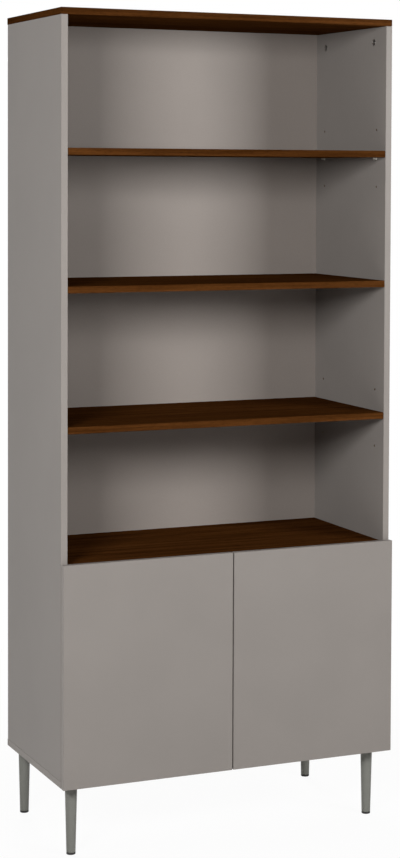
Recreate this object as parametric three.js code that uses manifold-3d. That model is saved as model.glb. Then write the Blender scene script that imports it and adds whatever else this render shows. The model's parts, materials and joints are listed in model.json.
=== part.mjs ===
// Bookcase with two cabinet doors, in millimetres.
// X runs to the right, Y to the back and Z up. The origin is on the floor under the middle of the case.
import * as THREE from "three";
import { mergeVertices } from "three/addons/utils/BufferGeometryUtils.js";
import Module from "manifold-3d";

const wasm = await Module();
wasm.setup();

// Case
const caseWidth = 800;
const overallDepth = 400; // from the front of the doors to the rear of the case
const board = 15; // thickness of every board
const seam = 0.3; // gap left between pieces that rest on each other
const sideSetback = 3; // how far the sides stop short of the rear
const backThickness = 3;
const backInset = 15; // rear face of the back panel, ahead of the rear of the case
const grooveDepth = 7; // in the sides
const shallowGrooveDepth = 4; // in the top and the bottom, clear of the studs of the legs
const cutOverrun = 1; // how far a cutting tool runs past the face that it enters

// Clear heights between the boards, from the bottom up
const cabinetBay = 457;
const lowerBay = 285;
const secondBay = 290;
const thirdBay = 284;
const topBay = 286;
const cabinetShelfRise = 210; // clear height under the loose shelf in the cabinet
const shelfEndPlay = 1; // between a loose shelf and each side

// Shelf pins
const pinDiameter = 5;
const pinShankLength = 8;
const pinTongueLength = 7;
const pinCollarDiameter = 7.6;
const pinCollarThickness = 1.2;
const pinFlatHeight = 2; // the flat that carries the shelf, above the pin's axis
const pinPitch = 66;
const frontPinInset = 45.5; // behind the front of the case
const rearPinInset = 318;
const pinRows = [-1, 0, 1]; // holes below, at and above each loose shelf

// Cam locks that pull the top panel onto the sides
const camDiameter = 15;
const camLength = 12.5;
const camDrop = 34; // below the top of the side
const frontCamInset = 62;
const rearCamInset = 315;
const camSlotLength = 10;
const camSlotWidth = 1.6;
const camSlotDepth = 2.5;

// Legs
const legHeight = 158; // floor to the underside of the case
const legTopDiameter = 27.5;
const legTipDiameter = 20.3;
const legChamfer = 0.8;
const legSideInset = 36; // axis, from the outer face of the side
const frontLegInset = 36; // axis, behind the front of the case
const rearLegInset = 16; // axis, ahead of the rear of the case
const studDiameter = 8;
const studLength = 9;
const footHeight = 4.5;
const footRounding = 1.2;
const footSpigotDiameter = 8;
const footSpigotLength = 6;

// Doors
const doorThickness = 15;
const doorGap = 3; // between the doors and the front of the case
const doorMiddleGap = 3; // between the two doors
const doorTopLip = 3.5; // how far the doors stand above the cabinet's top

// Cup hinges: places are from the outer face of the side and from the front of the case
const hingeEndInset = 95; // cup centre, from the door's end
const cupDiameter = 35;
const cupDepth = 12;
const cupEdge = 5; // rim of the cup to the edge of the door
const cupWall = 1;
const flangeThickness = 1;
const flangeWidth = 17;
const flangeCorner = 5.5;
const flangeHoleSpacing = 45;
const flangeEndMargin = 3.5; // beyond each screw hole's centre
const hingeScrewHole = 4.2;
const outerArmPivotX = 20.3;
const outerArmPivotY = 5.8;
const outerCupPivotEdge = 8.3; // from the door's edge
const outerCupPivotDepth = 5.2; // below the door's back face
const innerArmPivotX = 32.5;
const innerArmPivotY = -5.5;
const innerCupPivotEdge = 13.8;
const innerCupPivotDepth = 6.3;
const linkThickness = 1.2;
const linkEyeRadius = 2.1;
const linkTipRadius = 1.35;
const outerLinkArmReachX = 1.4;
const outerLinkArmReachY = 18.1;
const outerLinkCupReachX = 4;
const outerLinkCupReachY = 9.5;
const innerLinkArmReachX = 9.8;
const innerLinkArmReachY = 6.5;
const innerLinkCupReachX = 9.7;
const innerLinkCupReachY = 0.8;
const innerLinkHalfWidth = 2;
const cheekGap = 0.5; // between plates that slide past each other
const outerLinkCheek = 1.8;
const pivotDiameter = 2.4;
const pivotClearance = 0.3;
const armWall = 1.3;
const armNoseRadius = 2.9;
const armBeamHeight = 10.5; // from the plate side of the arm to its roof
const armFootRise = 3.2; // underside of the arm above the side panel
const armLength = 78; // rear end of the arm, behind the front of the case
const plateThickness = 2.4;
const plateScrewInset = 37; // screw line, behind the front of the case
const plateScrewSpacing = 32;
const plateWingMargin = 8; // beyond each screw hole's centre
const plateWingWidth = 16;
const plateFront = 22;
const plateRear = 66;
const plateBodyWidth = 13;
const plateCornerRadius = 3;

// Push latches
const latchFromCentre = 24;
const latchSetback = 1.5; // front of the housing behind the front of the case
const latchLength = 62;
const latchBodyWidth = 13;
const latchBodyHeight = 14;
const latchFlangeWidth = 30;
const latchFlangeThickness = 2;
const latchFlangeLength = 20;
const latchCorner = 2;
const latchScrewHole = 3.6;
const plungerDiameter = 7;
const plungerLength = 46;
const plungerTipRounding = 1.5;
const plungerClearance = 0.3;

// Facets round a full turn
const fineFacets = 20;
const smallFacets = 8;
const linkSteps = 7;
const cornerSteps = 3;

// Levels of the top faces of the shelves, above the underside of the case
const cabinetShelfLevel = board + cabinetShelfRise + board;
const cabinetTopLevel = board + cabinetBay + board;
const lowerShelfLevel = cabinetTopLevel + lowerBay + board;
const middleShelfLevel = lowerShelfLevel + secondBay + board;
const upperShelfLevel = middleShelfLevel + thirdBay + board;
const overallHeight = legHeight + upperShelfLevel + topBay + board;

// Faces that pieces share
const caseFront = -overallDepth / 2 + doorThickness + doorGap;
const caseRear = overallDepth / 2;
const caseBottom = legHeight;
const caseHalf = caseWidth / 2;
const innerHalf = caseHalf - board;
const sideBottom = caseBottom + board + seam;
const sideTop = overallHeight - board - seam;
const sideRear = caseRear - sideSetback;
const backRear = caseRear - backInset;
const backFront = backRear - backThickness;
const doorBack = caseFront - doorGap;
const doorTop = caseBottom + cabinetTopLevel + doorTopLip;

// Finishes, as seen: stone grey laminate, dark walnut, satin metal, plated steel and plastics
const laminate = { color: 0x8f8a85, roughness: 0.55, metalness: 0 };
const walnut = { color: 0x4a2a12, roughness: 0.5, metalness: 0 };
const legMetal = { color: 0x7c7c77, roughness: 0.35, metalness: 0.6 };
const rubber = { color: 0x1c1b1a, roughness: 0.8, metalness: 0 };
const plated = { color: 0xb9b9b5, roughness: 0.3, metalness: 1 };
const nylon = { color: 0xd8d5cc, roughness: 0.45, metalness: 0 };
const greyPlastic = { color: 0x8a8884, roughness: 0.5, metalness: 0 };

// Solids
function solid(geometry) {
  const bare = geometry.clone();
  bare.deleteAttribute("normal");
  bare.deleteAttribute("uv");
  const merged = mergeVertices(bare);
  const mesh = new wasm.Mesh({
    numProp: 3,
    vertProperties: new Float32Array(merged.attributes.position.array),
    triVerts: new Uint32Array(merged.index.array),
  });
  return new wasm.Manifold(mesh);
}

function geometryOf(body) {
  const mesh = body.getMesh();
  const geometry = new THREE.BufferGeometry();
  geometry.setAttribute("position", new THREE.BufferAttribute(mesh.vertProperties, 3));
  geometry.setIndex(new THREE.BufferAttribute(mesh.triVerts, 1));
  geometry.computeVertexNormals();
  return geometry;
}

function cut(body, ...tools) {
  return tools.reduce((rest, tool) => rest.subtract(tool), body);
}

function join(body, ...others) {
  return others.reduce((all, other) => all.add(other), body);
}

function block(x0, x1, y0, y1, z0, z1) {
  const box = new THREE.BoxGeometry(x1 - x0, y1 - y0, z1 - z0);
  return solid(box.translate((x0 + x1) / 2, (y0 + y1) / 2, (z0 + z1) / 2));
}

// A rod from start to end along one axis, through a point given by the other two places
function rod(axis, radius, start, end, x, y, z, facets = smallFacets) {
  const geometry = new THREE.CylinderGeometry(radius, radius, Math.abs(end - start), facets);
  const middle = (start + end) / 2;
  if (axis === "x") geometry.rotateZ(Math.PI / 2).translate(middle, y, z);
  if (axis === "y") geometry.translate(x, middle, z);
  if (axis === "z") geometry.rotateX(Math.PI / 2).translate(x, y, middle);
  return solid(geometry);
}

// A turned shape about Y, from points of radius and height
function turned(points, facets = fineFacets) {
  return new THREE.LatheGeometry(points.map(([r, h]) => new THREE.Vector2(r, h)), facets);
}

// A flat outline in X and Y, thickened along Z
function plate(shape, z0, z1) {
  const options = { depth: z1 - z0, bevelEnabled: false, curveSegments: cornerSteps };
  return solid(new THREE.ExtrudeGeometry(shape, options).translate(0, 0, z0));
}

function roundedRectangle(width, height, radius) {
  const shape = new THREE.Shape();
  const x = width / 2 - radius;
  const y = height / 2 - radius;
  shape.absarc(x, y, radius, 0, Math.PI / 2);
  shape.absarc(-x, y, radius, Math.PI / 2, Math.PI);
  shape.absarc(-x, -y, radius, Math.PI, Math.PI * 1.5);
  shape.absarc(x, -y, radius, Math.PI * 1.5, Math.PI * 2);
  return shape;
}

function piece(name, body, finish) {
  const mesh = new THREE.Mesh(geometryOf(body), new THREE.MeshStandardMaterial(finish));
  mesh.name = name;
  return mesh;
}

// Boards of the case
function grooveTool(z0, z1) {
  const half = innerHalf + grooveDepth;
  return block(-half, half, backFront - seam, backRear + seam, z0, z1);
}

function topPanel() {
  const body = block(-caseHalf, caseHalf, caseFront, caseRear, overallHeight - board, overallHeight);
  const underside = overallHeight - board;
  return cut(body, grooveTool(underside - cutOverrun, underside + shallowGrooveDepth));
}

const legPlaces = [
  { name: "front_left", x: -1, y: caseFront + frontLegInset },
  { name: "front_right", x: 1, y: caseFront + frontLegInset },
  { name: "rear_left", x: -1, y: caseRear - rearLegInset },
  { name: "rear_right", x: 1, y: caseRear - rearLegInset },
].map((leg) => ({ ...leg, x: leg.x * (caseHalf - legSideInset) }));

function bottomPanel() {
  const top = caseBottom + board;
  const body = block(-caseHalf, caseHalf, caseFront, caseRear, caseBottom, top);
  const low = caseBottom - cutOverrun;
  const studHoles = legPlaces.map(({ x, y }) =>
    rod("z", studDiameter / 2 + seam, low, caseBottom + studLength, x, y, 0, fineFacets),
  );
  return cut(body, grooveTool(top - shallowGrooveDepth, top + cutOverrun), ...studHoles);
}

function backPanel() {
  const half = innerHalf + grooveDepth - seam;
  const low = caseBottom + board - shallowGrooveDepth + seam;
  const high = overallHeight - board + shallowGrooveDepth - seam;
  return block(-half, half, backFront, backRear, low, high);
}

function shelf(level, endGap) {
  const half = innerHalf - endGap;
  const top = caseBottom + level;
  return block(-half, half, caseFront, backFront - seam, top - board, top);
}

// Shelf pins: their axis lies so far below the shelf that the flat of the pin carries it
const looseShelfLevels = { cabinet: cabinetShelfLevel, lower: lowerShelfLevel, upper: upperShelfLevel };
const pinColumns = { front: caseFront + frontPinInset, rear: caseFront + rearPinInset };
const pinAxisHeight = (level) => caseBottom + level - board - seam - pinFlatHeight;

// Places on the left side are mirrored for the right side
function sidePanel() {
  const body = block(-caseHalf, -innerHalf, caseFront, sideRear, sideBottom, sideTop);
  const groove = block(
    -innerHalf - grooveDepth, -innerHalf + cutOverrun,
    backFront - seam, backRear + seam,
    sideBottom - cutOverrun, sideTop + cutOverrun,
  );
  const start = -innerHalf + cutOverrun;
  const pinHoles = Object.values(looseShelfLevels).flatMap((level) =>
    Object.values(pinColumns).flatMap((y) =>
      pinRows.map((row) => {
        const z = pinAxisHeight(level) + row * pinPitch;
        return rod("x", pinDiameter / 2 + seam, start, -innerHalf - pinShankLength - seam, 0, y, z);
      }),
    ),
  );
  const camBores = [frontCamInset, rearCamInset].map((inset) =>
    rod("x", camDiameter / 2 + seam, start, -innerHalf - camLength - seam, 0, caseFront + inset,
      sideTop - camDrop, fineFacets),
  );
  return cut(body, groove, ...pinHoles, ...camBores);
}

function camLock(y) {
  const z = sideTop - camDrop;
  const body = rod("x", camDiameter / 2, -innerHalf, -innerHalf - camLength, 0, y, z, fineFacets);
  const floor = -innerHalf - camSlotDepth;
  const open = -innerHalf + cutOverrun;
  const long = camSlotLength / 2;
  const narrow = camSlotWidth / 2;
  return cut(
    body,
    block(floor, open, y - long, y + long, z - narrow, z + narrow),
    block(floor, open, y - narrow, y + narrow, z - long, z + long),
  );
}

// A pin of the left side: shank in the board, collar against it and tongue under the shelf
function shelfPin(y, level) {
  const z = pinAxisHeight(level);
  const radius = pinDiameter / 2;
  const collarEnd = pinShankLength + pinCollarThickness;
  const end = collarEnd + pinTongueLength;
  const profile = [
    [0, 0], [radius, 0], [radius, pinShankLength], [pinCollarDiameter / 2, pinShankLength],
    [pinCollarDiameter / 2, collarEnd], [radius, collarEnd], [radius, end], [0, end],
  ];
  const pin = turned(profile, smallFacets).rotateZ(-Math.PI / 2);
  const body = solid(pin.translate(-innerHalf - pinShankLength, y, z));
  const aboveFlat = block(
    -innerHalf + seam / 2, -innerHalf + end,
    y - pinCollarDiameter, y + pinCollarDiameter,
    z + pinFlatHeight, z + pinCollarDiameter,
  );
  return cut(body, aboveFlat);
}

// Legs and their feet, turned about their own axis with Z up
function legBody() {
  const top = legHeight - seam;
  const low = footHeight + seam;
  const spigotBore = footSpigotDiameter / 2 + seam;
  const boreTop = low + footSpigotLength + seam;
  const topRadius = legTopDiameter / 2;
  const profile = [
    [0, boreTop], [spigotBore, boreTop], [spigotBore, low], [legTipDiameter / 2, low],
    [topRadius, top - legChamfer], [topRadius - legChamfer, top],
    [studDiameter / 2, top], [studDiameter / 2, top + studLength - seam], [0, top + studLength - seam],
  ];
  return solid(turned(profile).rotateX(Math.PI / 2));
}

function footBody() {
  const radius = legTipDiameter / 2;
  const spigot = footSpigotDiameter / 2;
  const top = footHeight + footSpigotLength;
  const rounding = Array.from({ length: cornerSteps }, (_, i) => {
    const turn = (i / cornerSteps) * (Math.PI / 2);
    return [radius - footRounding * (1 - Math.sin(turn)), footRounding * (1 - Math.cos(turn))];
  });
  const profile = [[0, 0], ...rounding, [radius, footRounding], [radius, footHeight],
    [spigot, footHeight], [spigot, top], [0, top]];
  return solid(turned(profile).rotateX(Math.PI / 2));
}

// Doors: the left one, bored for its two cups
const hingeHeights = { lower: caseBottom + hingeEndInset, upper: doorTop - hingeEndInset };
const cupCentre = cupEdge + cupDiameter / 2; // from the edge of the door

function door() {
  const body = block(
    -caseHalf, -doorMiddleGap / 2,
    doorBack - doorThickness, doorBack,
    caseBottom, doorTop,
  );
  const bores = Object.values(hingeHeights).map((z) =>
    rod("y", cupDiameter / 2 + seam, doorBack + cutOverrun, doorBack - cupDepth - seam,
      -caseHalf + cupCentre, 0, z, fineFacets),
  );
  return cut(body, ...bores);
}

// Pieces of a hinge lie about its own centre: X from the outer face of the side, Y from the front
// of the case, Z from the middle of the cup
const flangeLength = flangeHoleSpacing + 2 * flangeEndMargin;
const plateWingLength = plateScrewSpacing + 2 * plateWingMargin;
const outerCupPivotY = -doorGap - outerCupPivotDepth;
const innerCupPivotY = -doorGap - innerCupPivotDepth;
const outerCheekStart = innerLinkHalfWidth + cheekGap;
const outerCheekEnd = outerCheekStart + outerLinkCheek;
const armHalfInside = outerCheekEnd + cheekGap;
const armHalfOutside = armHalfInside + armWall;

function hingeCup() {
  const radius = cupDiameter / 2;
  const inside = radius - cupWall;
  const profile = [
    [0, -cupDepth], [radius, -cupDepth], [radius, flangeThickness],
    [inside, flangeThickness], [inside, cupWall - cupDepth], [0, cupWall - cupDepth],
  ];
  const shell = solid(turned(profile).translate(cupCentre, -doorGap, 0));
  const flange = roundedRectangle(flangeWidth, flangeLength, flangeCorner);
  const wings = plate(flange, 0, flangeThickness - seam)
    .rotate([90, 0, 0])
    .translate([cupCentre, flangeThickness - doorGap, 0]);
  const low = -doorGap - cutOverrun;
  const high = -doorGap + flangeThickness + cutOverrun;
  const screwHoles = [-1, 1].map((end) =>
    rod("y", hingeScrewHole / 2, low, high, cupCentre, 0, (end * flangeHoleSpacing) / 2),
  );
  const well = rod("y", inside, low, high, cupCentre, 0, 0, fineFacets);
  return join(shell, cut(wings, well, ...screwHoles));
}

// A strip of even thickness along a curve, in X and Y
function strip(start, startReach, endReach, end) {
  const curve = new THREE.CubicBezierCurve(start, startReach, endReach, end);
  const points = curve.getPoints(linkSteps);
  const sides = [linkThickness / 2, -linkThickness / 2].map((offset) =>
    points.map((point, i) => {
      const along = curve.getTangent(i / linkSteps);
      return new THREE.Vector2(point.x - along.y * offset, point.y + along.x * offset);
    }),
  );
  return new THREE.Shape([...sides[0].reverse(), ...sides[1]]);
}

// Outer link: two curved cheeks on a pin through the arm and a pin inside the cup
function outerLink() {
  const arm = new THREE.Vector2(outerArmPivotX, outerArmPivotY);
  const cup = new THREE.Vector2(outerCupPivotEdge, outerCupPivotY);
  const shape = strip(
    arm, new THREE.Vector2(arm.x + outerLinkArmReachX, arm.y - outerLinkArmReachY),
    new THREE.Vector2(cup.x + outerLinkCupReachX, cup.y - outerLinkCupReachY), cup,
  );
  const cheeks = [1, -1].map((side) => {
    const [low, high] = [side * outerCheekStart, side * outerCheekEnd].sort((a, b) => a - b);
    return join(
      plate(shape, low, high),
      rod("z", linkEyeRadius, low, high, arm.x, arm.y, 0),
      rod("z", linkTipRadius, low, high, cup.x, cup.y, 0),
    );
  });
  const pin = pivotDiameter / 2;
  return join(
    cheeks[0], cheeks[1],
    rod("z", pin, -armHalfOutside, armHalfOutside, arm.x, arm.y, 0),
    rod("z", pin, -outerCheekEnd, outerCheekEnd, cup.x, cup.y, 0),
  );
}

// Inner link: one curved plate between the cheeks, on a pin through the nose of the arm
function innerLink() {
  const arm = new THREE.Vector2(innerArmPivotX, innerArmPivotY);
  const cup = new THREE.Vector2(innerCupPivotEdge, innerCupPivotY);
  const shape = strip(
    arm, new THREE.Vector2(arm.x - innerLinkArmReachX, arm.y - innerLinkArmReachY),
    new THREE.Vector2(cup.x + innerLinkCupReachX, cup.y + innerLinkCupReachY), cup,
  );
  const low = -innerLinkHalfWidth;
  const high = innerLinkHalfWidth;
  return join(
    plate(shape, low, high),
    rod("z", linkEyeRadius, low, high, arm.x, arm.y, 0),
    rod("z", linkTipRadius, low, high, cup.x, cup.y, 0),
    rod("z", pivotDiameter / 2, -armHalfOutside, armHalfOutside, arm.x, arm.y, 0),
  );
}

// Arm: a channel open towards the side panel, whose nose carries both arm pivots
const armFootX = board + armFootRise;
const armRoofX = armFootX + armBeamHeight;
const armNoseX = innerArmPivotX + armNoseRadius;

function armOutline() {
  const slope = Math.atan2(innerArmPivotY - outerArmPivotY, innerArmPivotX - outerArmPivotX);
  const lowerSide = slope - Math.PI / 2 + Math.PI * 2;
  const shape = new THREE.Shape();
  shape.moveTo(armRoofX, armLength);
  shape.lineTo(armFootX, armLength);
  shape.lineTo(armFootX, outerArmPivotY + armNoseRadius);
  shape.lineTo(outerArmPivotX - armNoseRadius, outerArmPivotY);
  shape.absarc(outerArmPivotX, outerArmPivotY, armNoseRadius, Math.PI, lowerSide);
  shape.absarc(innerArmPivotX, innerArmPivotY, armNoseRadius, lowerSide, Math.PI * 2);
  shape.lineTo(armNoseX, outerArmPivotY);
  shape.lineTo(armRoofX, outerArmPivotY + armBeamHeight);
  return shape;
}

function hingeArm() {
  const inside = new THREE.Shape();
  const left = outerArmPivotX - armNoseRadius - cutOverrun;
  const right = armNoseX + cutOverrun;
  const front = innerArmPivotY - armNoseRadius - cutOverrun;
  const noseFloor = innerArmPivotY + linkEyeRadius + cheekGap;
  inside.moveTo(left, armLength + cutOverrun);
  inside.lineTo(left, front);
  inside.lineTo(right, front);
  inside.lineTo(right, noseFloor);
  inside.lineTo(armNoseX - armWall, noseFloor);
  inside.lineTo(armNoseX - armWall, outerArmPivotY);
  inside.lineTo(armRoofX - armWall, outerArmPivotY + armBeamHeight);
  inside.lineTo(armRoofX - armWall, armLength + cutOverrun);
  const bore = pivotDiameter / 2 + pivotClearance;
  const ends = [-armHalfOutside - cutOverrun, armHalfOutside + cutOverrun];
  return cut(
    plate(armOutline(), -armHalfOutside, armHalfOutside),
    plate(inside, -armHalfInside, armHalfInside),
    rod("z", bore, ...ends, outerArmPivotX, outerArmPivotY, 0),
    rod("z", bore, ...ends, innerArmPivotX, innerArmPivotY, 0),
    rod("x", hingeScrewHole / 2, armRoofX - armWall - cutOverrun, armRoofX + cutOverrun, 0,
      plateScrewInset, 0),
  );
}

// Mounting plate: a cross on the side panel, with a rib that fills the channel of the arm
function mountingPlate() {
  const foot = board + seam;
  const top = foot + plateThickness;
  const middle = (plateFront + plateRear) / 2;
  const body = roundedRectangle(plateRear - plateFront, plateBodyWidth, plateCornerRadius);
  const wing = roundedRectangle(plateWingWidth, plateWingLength, plateCornerRadius);
  const stand = (shape, y) =>
    plate(shape, 0, plateThickness).rotate([0, 90, 0]).rotate([90, 0, 0]).translate([foot, y, 0]);
  const rib = block(
    top - cheekGap, armRoofX - armWall - seam,
    plateFront + plateCornerRadius, plateRear - plateCornerRadius,
    -armHalfInside + cheekGap, armHalfInside - cheekGap,
  );
  const holes = [-1, 1].map((end) =>
    rod("x", hingeScrewHole / 2, foot - cutOverrun, top + cutOverrun, 0, plateScrewInset,
      (end * plateScrewSpacing) / 2),
  );
  return cut(join(stand(body, middle), stand(wing, plateScrewInset), rib), ...holes);
}

// Push latch of the left door, under the cabinet top: a housing and the plunger that slides in it
const latchCeiling = caseBottom + cabinetTopLevel - board - seam;
const latchAxisZ = latchCeiling - latchBodyHeight / 2;
const latchFrontY = caseFront + latchSetback;

function latchHousing() {
  const along = (flat, y, z) => flat.rotate([90, 0, 0]).translate([-latchFromCentre, y, z]);
  const body = along(
    plate(roundedRectangle(latchBodyWidth, latchBodyHeight, latchCorner), 0, latchLength),
    latchFrontY + latchLength, latchAxisZ,
  );
  const flange = block(
    -latchFromCentre - latchFlangeWidth / 2, -latchFromCentre + latchFlangeWidth / 2,
    latchFrontY + latchSetback, latchFrontY + latchSetback + latchFlangeLength,
    latchCeiling - latchFlangeThickness, latchCeiling,
  );
  const screwY = latchFrontY + latchSetback + latchFlangeLength / 2;
  const screwX = (latchFlangeWidth + latchBodyWidth) / 4;
  const screwHoles = [-1, 1].map((side) =>
    rod("z", latchScrewHole / 2, latchCeiling - latchFlangeThickness - cutOverrun,
      latchCeiling + cutOverrun, -latchFromCentre + side * screwX, screwY, 0),
  );
  const bore = rod("y", plungerDiameter / 2 + plungerClearance, latchFrontY - cutOverrun,
    doorBack + seam + plungerLength + cutOverrun, -latchFromCentre, 0, latchAxisZ, fineFacets);
  return cut(join(body, flange), bore, ...screwHoles);
}

function latchPlunger() {
  const radius = plungerDiameter / 2;
  const profile = [
    [0, 0], [radius - plungerTipRounding, 0], [radius, plungerTipRounding],
    [radius, plungerLength], [0, plungerLength],
  ];
  return solid(turned(profile).translate(-latchFromCentre, doorBack + seam, latchAxisZ));
}

// Assembly
const bookcase = new THREE.Group();

bookcase.add(
  piece("top_panel", topPanel(), walnut),
  piece("bottom_panel", bottomPanel(), laminate),
  piece("back_panel", backPanel(), laminate),
  piece("cabinet_top", shelf(cabinetTopLevel, seam), walnut),
  piece("middle_shelf", shelf(middleShelfLevel, seam), walnut),
  piece("upper_shelf", shelf(upperShelfLevel, shelfEndPlay), walnut),
  piece("lower_shelf", shelf(lowerShelfLevel, shelfEndPlay), walnut),
  piece("cabinet_shelf", shelf(cabinetShelfLevel, shelfEndPlay), laminate),
);

for (const { name, x, y } of legPlaces) {
  const leg = piece(`leg_${name}`, legBody(), legMetal);
  const foot = piece(`foot_${name}`, footBody(), rubber);
  leg.position.set(x, y, 0);
  foot.position.set(x, y, 0);
  bookcase.add(leg, foot);
}

// Each half holds the pieces that the other half has mirrored
for (const side of ["left", "right"]) {
  const half = new THREE.Group();
  half.scale.x = side === "left" ? 1 : -1;
  half.add(
    piece(`${side}_side_panel`, sidePanel(), laminate),
    piece(`${side}_door`, door(), laminate),
    piece(`${side}_front_cam_lock`, camLock(caseFront + frontCamInset), plated),
    piece(`${side}_rear_cam_lock`, camLock(caseFront + rearCamInset), plated),
    piece(`${side}_latch_housing`, latchHousing(), greyPlastic),
    piece(`${side}_latch_plunger`, latchPlunger(), nylon),
  );
  for (const [shelfName, level] of Object.entries(looseShelfLevels)) {
    for (const [column, y] of Object.entries(pinColumns)) {
      half.add(piece(`${shelfName}_shelf_pin_${side}_${column}`, shelfPin(y, level), nylon));
    }
  }
  for (const [place, z] of Object.entries(hingeHeights)) {
    const hinge = new THREE.Group();
    hinge.position.set(-caseHalf, caseFront, z);
    hinge.add(
      piece(`${side}_${place}_hinge_cup`, hingeCup(), plated),
      piece(`${side}_${place}_hinge_outer_link`, outerLink(), plated),
      piece(`${side}_${place}_hinge_inner_link`, innerLink(), plated),
      piece(`${side}_${place}_hinge_arm`, hingeArm(), plated),
      piece(`${side}_${place}_hinge_plate`, mountingPlate(), plated),
    );
    half.add(hinge);
  }
  bookcase.add(half);
}

export default bookcase;
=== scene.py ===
import json
import math
from itertools import product

import bmesh
import bpy
from bpy.props import FloatProperty, FloatVectorProperty, PointerProperty
from mathutils import Matrix, Vector


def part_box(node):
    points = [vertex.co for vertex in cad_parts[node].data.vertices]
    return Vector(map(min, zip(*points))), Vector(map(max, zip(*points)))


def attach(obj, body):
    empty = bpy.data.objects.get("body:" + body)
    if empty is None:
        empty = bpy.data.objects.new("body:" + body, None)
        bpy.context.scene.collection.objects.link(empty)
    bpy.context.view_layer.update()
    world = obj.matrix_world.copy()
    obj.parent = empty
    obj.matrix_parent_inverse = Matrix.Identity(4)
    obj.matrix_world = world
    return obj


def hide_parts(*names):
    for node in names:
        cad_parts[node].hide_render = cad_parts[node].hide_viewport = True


bl_info = {
    "name": "Bookcase with cabinet doors",
    "version": (1, 0, 0),
    "blender": (4, 5, 0),
    "location": "3D View > Sidebar > Bookcase",
    "description": "Boards, doors, legs and fittings of a bookcase, finished around its frame",
    "category": "Add Mesh",
}

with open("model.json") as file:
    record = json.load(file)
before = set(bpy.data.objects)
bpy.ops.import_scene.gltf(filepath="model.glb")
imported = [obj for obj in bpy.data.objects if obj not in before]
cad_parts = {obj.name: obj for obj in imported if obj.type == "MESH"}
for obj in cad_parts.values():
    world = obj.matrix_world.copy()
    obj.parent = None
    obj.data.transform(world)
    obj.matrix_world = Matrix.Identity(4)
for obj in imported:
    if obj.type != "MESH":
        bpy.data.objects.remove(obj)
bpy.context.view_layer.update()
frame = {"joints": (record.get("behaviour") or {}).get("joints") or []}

SIDES = ("left", "right")
AXES = {"X": (1, 0, 0), "-X": (-1, 0, 0), "Y": (0, 1, 0), "Z": (0, 0, 1), "-Z": (0, 0, -1)}
LOOSE_SHELVES = ("cabinet", "lower", "upper")
FIXED_SHELVES = ("middle_shelf", "cabinet_top")
HINGE_PLACES = ("lower", "upper")
COLUMNS = ("front", "rear")

# How far a face has to look along an axis, and an edge has to bend, to count as outer
FACING = 0.9
CORNER_BEND = math.radians(60)
# The middle part of a noise's range, which a finish spreads its values over
NOISE_RANGE = (0.3, 0.7)

# Metres. Seams, cutting tools and bores
SEAM = 0.0003
OVERRUN = 0.001
PIN_PITCH = 0.066
CUP_BORE_GAP = 0.0003
# Shelf pins
PIN_SHANK = 0.005
PIN_COLLAR = 0.0076
PIN_COLLAR_THICKNESS = 0.0012
PIN_EDGE = 0.0003
# Cam locks and the screws of the case
CAM_DEPTH = 0.0125
CAM_EDGE = 0.0004
CAM_RIM = 0.001
CAM_DISH = 0.0004
CAM_SLOT = 0.0095
CAM_SLOT_WIDTH = 0.0021
CAM_SLOT_DEPTH = 0.005
CAM_JAW = 0.7  # share of the face and of the depth that the jaw reaches
FIXED_CAM_INSET = 0.034
CASE_SCREW_HEAD = 0.010
CASE_SCREW_SINK = 0.004
CASE_SCREW_CORE = 0.004
HEX_SOCKET = 0.0046
# Legs and feet
SPIGOT = 0.0086
SPIGOT_DEPTH = 0.0063
STUD = 0.008
LEG_EDGE = 0.0006
FOOT_EDGE = 0.0012
# Hinges
CUP_EDGE = 0.0008
CUP_WALL = 0.001
FLANGE_WIDTH = 0.017
FLANGE_CORNER = 0.0055
FLANGE_HOLES = 0.045
SCREW_HEAD = 0.0078
SCREW_DOME = 0.0017
# Shares of a cross-head screw: its rim's height, and its slots' length and width
SCREW_RIM = 0.35
SLOT_LENGTH = 0.55
SLOT_WIDTH = 0.12
# Links: handles of their bends, from the pin at each end, and the inner link's place in the cup
OUTER_BEND_AT_ARM = (0.0014, -0.0181)
OUTER_BEND_AT_CUP = (0.004, -0.0095)
INNER_BEND_AT_ARM = (-0.0098, -0.0065)
INNER_BEND_AT_CUP = (0.0097, 0.0008)
INNER_END = (0.0055, -0.0011)
LINK_THICKNESS = 0.0012
LINK_EDGE = 0.0002
LINK_EYE = 0.0021
LINK_TIP = 0.00135
INNER_LINK_HALF = 0.002
CHEEK_START = 0.0025
CHEEK_END = 0.0043
PIVOT_PIN = 0.0024
PIN_HEAD = 0.0005
ARM_HALF = 0.0061
ARM_WALL = 0.0013
ARM_NOSE = 0.0029
ARM_ROOF = 0.0113
ARM_FOOT = 0.0008
ARM_RISE = 0.0105
ARM_FIX = 0.041
ARM_ADJUST = 0.020
PLATE_THICKNESS = 0.0024
PLATE_BODY = 0.013
PLATE_WING = 0.016
PLATE_CORNER = 0.003
PLATE_HOLES = 0.032
# Push latches
LATCH_BODY = 0.013
LATCH_CORNER = 0.002
LATCH_FLANGE = 0.020
LATCH_FLANGE_THICKNESS = 0.002
LATCH_FLANGE_SETBACK = 0.0015
LATCH_TIP = 0.0015
LATCH_SCREW_HEAD = 0.0065

# The picture: its size and the point that the camera faces, in pixels
PICTURE_WIDTH = 400
PICTURE_HEIGHT = 858
FOCAL_PIXELS = 2092.5
FACING_PIXEL = (275, 258.55)
# The floor near the case shows this share of white, and all of it past the reach, in metres
FLOOR_WHITENESS = 0.95
FLOOR_SHADE_REACH = (0.5, 1.8)
FLOOR_ROUGHNESS = 0.9
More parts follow.
